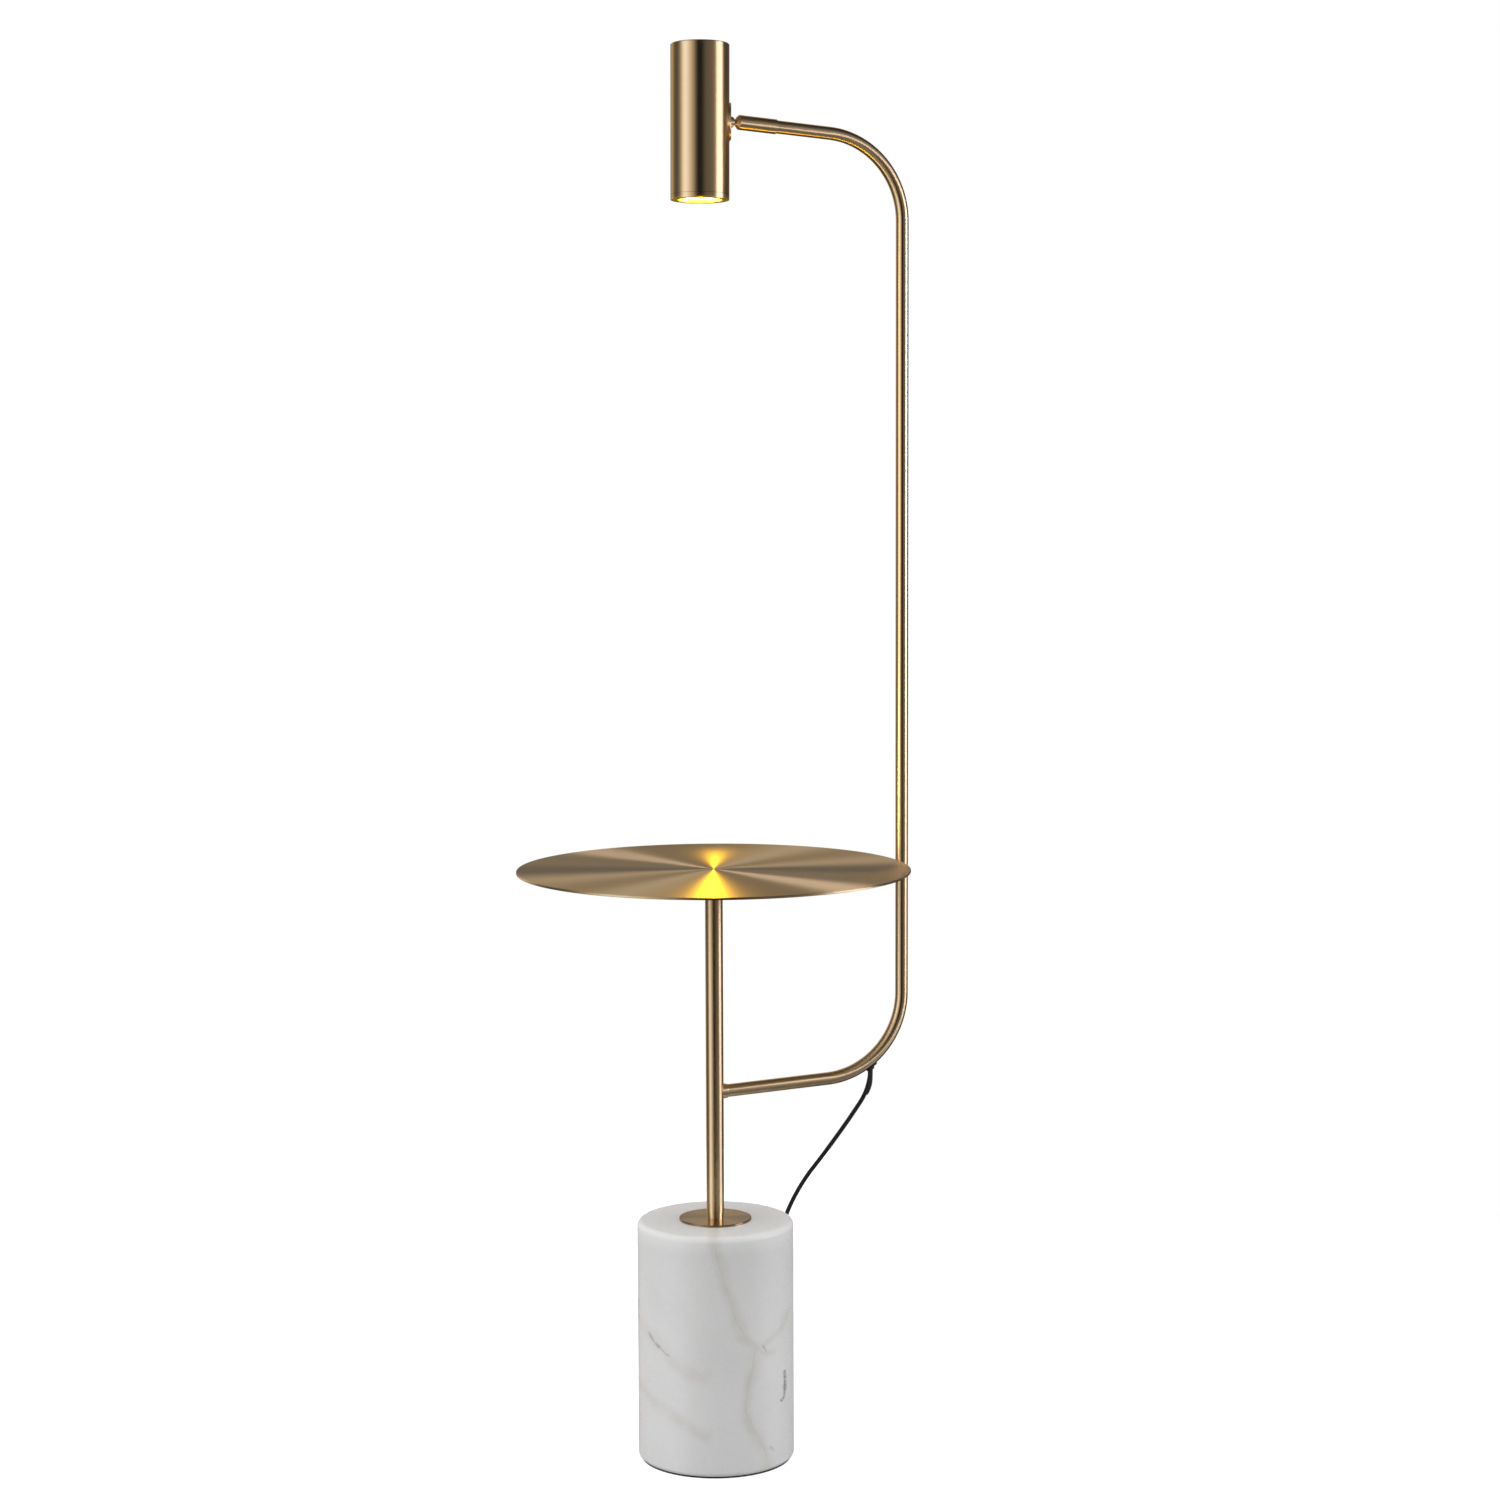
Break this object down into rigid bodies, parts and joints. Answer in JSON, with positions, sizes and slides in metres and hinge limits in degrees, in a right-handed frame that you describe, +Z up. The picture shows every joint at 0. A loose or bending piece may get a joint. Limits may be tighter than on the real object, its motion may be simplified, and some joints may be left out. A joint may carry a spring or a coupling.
{
  "type": "floor lamp with table",
  "caption": "Floor lamp with a round side table: marble drum base, brass column and disc, and a slender bent tube that carries a swivelling, tilting spot head over the table.",
  "frame": {"origin": "on the floor, at the centre of the base pad's underside, on the column's axis", "axes": "+Z up along the column; the bent tube lies in the XZ plane with its upright part on the +X side"},
  "size_m": [0.413, 0.4, 1.4336],
  "materials": {
    "brushed_brass": "satin",
    "machined_brass": "satin",
    "marble": "satin",
    "zinc_steel": "satin",
    "aluminium": "satin",
    "black_rubber": "matte",
    "black_textile": "matte",
    "black_plastic": "matte",
    "fibre": "matte",
    "lamp_white": "gloss",
    "lens": "satin",
    "holder_ceramic": "matte",
    "pin_nickel": "polished"
  },
  "bodies": {
    "stand": {"rosette": "brushed_brass", "foot_ring": "brushed_brass", "column_tube": "brushed_brass", "table_disc": "brushed_brass", "lower_tube": "brushed_brass", "upper_tube": "brushed_brass", "arm_collar": "brushed_brass", "rear_collar": "brushed_brass", "rim_bracket": "brushed_brass", "table_flange": "brushed_brass", "tee_block": "machined_brass", "arm_spigot": "machined_brass", "swivel_spindle": "machined_brass", "marble_base": "marble", "clamp_plate": "zinc_steel", "tie_rod_nut": "zinc_steel", "tie_rod": "zinc_steel", "column_foot_plug": "zinc_steel", "column_top_plug": "zinc_steel", "flange_screw": "zinc_steel", "disc_studs": "zinc_steel", "stud_nuts": "zinc_steel", "tube_coupler": "zinc_steel", "stop_pin": "zinc_steel", "base_pad": "black_rubber", "cord_grommet": "black_rubber", "stem_lead": "black_textile", "cord_hanging": "black_textile", "cord_floor": "black_textile", "cord_tail": "black_textile", "cord_coil": "black_textile", "coil_tie": "black_textile", "switch_base": "black_plastic", "switch_cover": "black_plastic", "plug_body": "black_plastic", "switch_core": "fibre", "plug_pins": "pin_nickel"},
    "swivel": {"swivel_nose": "brushed_brass", "ball_cup": "machined_brass", "disc_springs": "zinc_steel", "pressure_ring": "machined_brass", "swivel_bush": "machined_brass", "friction_washer": "fibre"},
    "head": {"head_shell": "brushed_brass", "head_cap": "brushed_brass", "bezel_ring": "brushed_brass", "saddle_plate": "brushed_brass", "inner_pad": "aluminium", "ball_stud": "brushed_brass", "head_nut": "zinc_steel", "lamp_body": "lamp_white", "lamp_lens": "lens", "lamp_pins": "pin_nickel", "lamp_holder": "holder_ceramic", "holder_bracket": "zinc_steel", "holder_screws": "zinc_steel", "head_lead": "black_textile"},
    "button": {"switch_button": "black_plastic"}
  },
  "joints": [
    {"name": "head_swivel", "type": "hinge", "parent": "stand", "child": "swivel", "pos_m": [0.0322, 0, 1.35688], "axis": [0.9967, 0, -0.0811], "range_deg": [-165, 165]},
    {"name": "head_tilt", "type": "hinge", "parent": "swivel", "child": "head", "pos_m": [0.0322, 0, 1.35688], "axis": [0, 1, 0], "range_deg": [-14, 21]},
    {"name": "switch_button", "type": "slide", "parent": "stand", "child": "button", "axis": [0, 0, -1], "range_m": [0, 0.002], "stiffness_N_per_m": 800, "springref_m": -0.002}
  ]
}
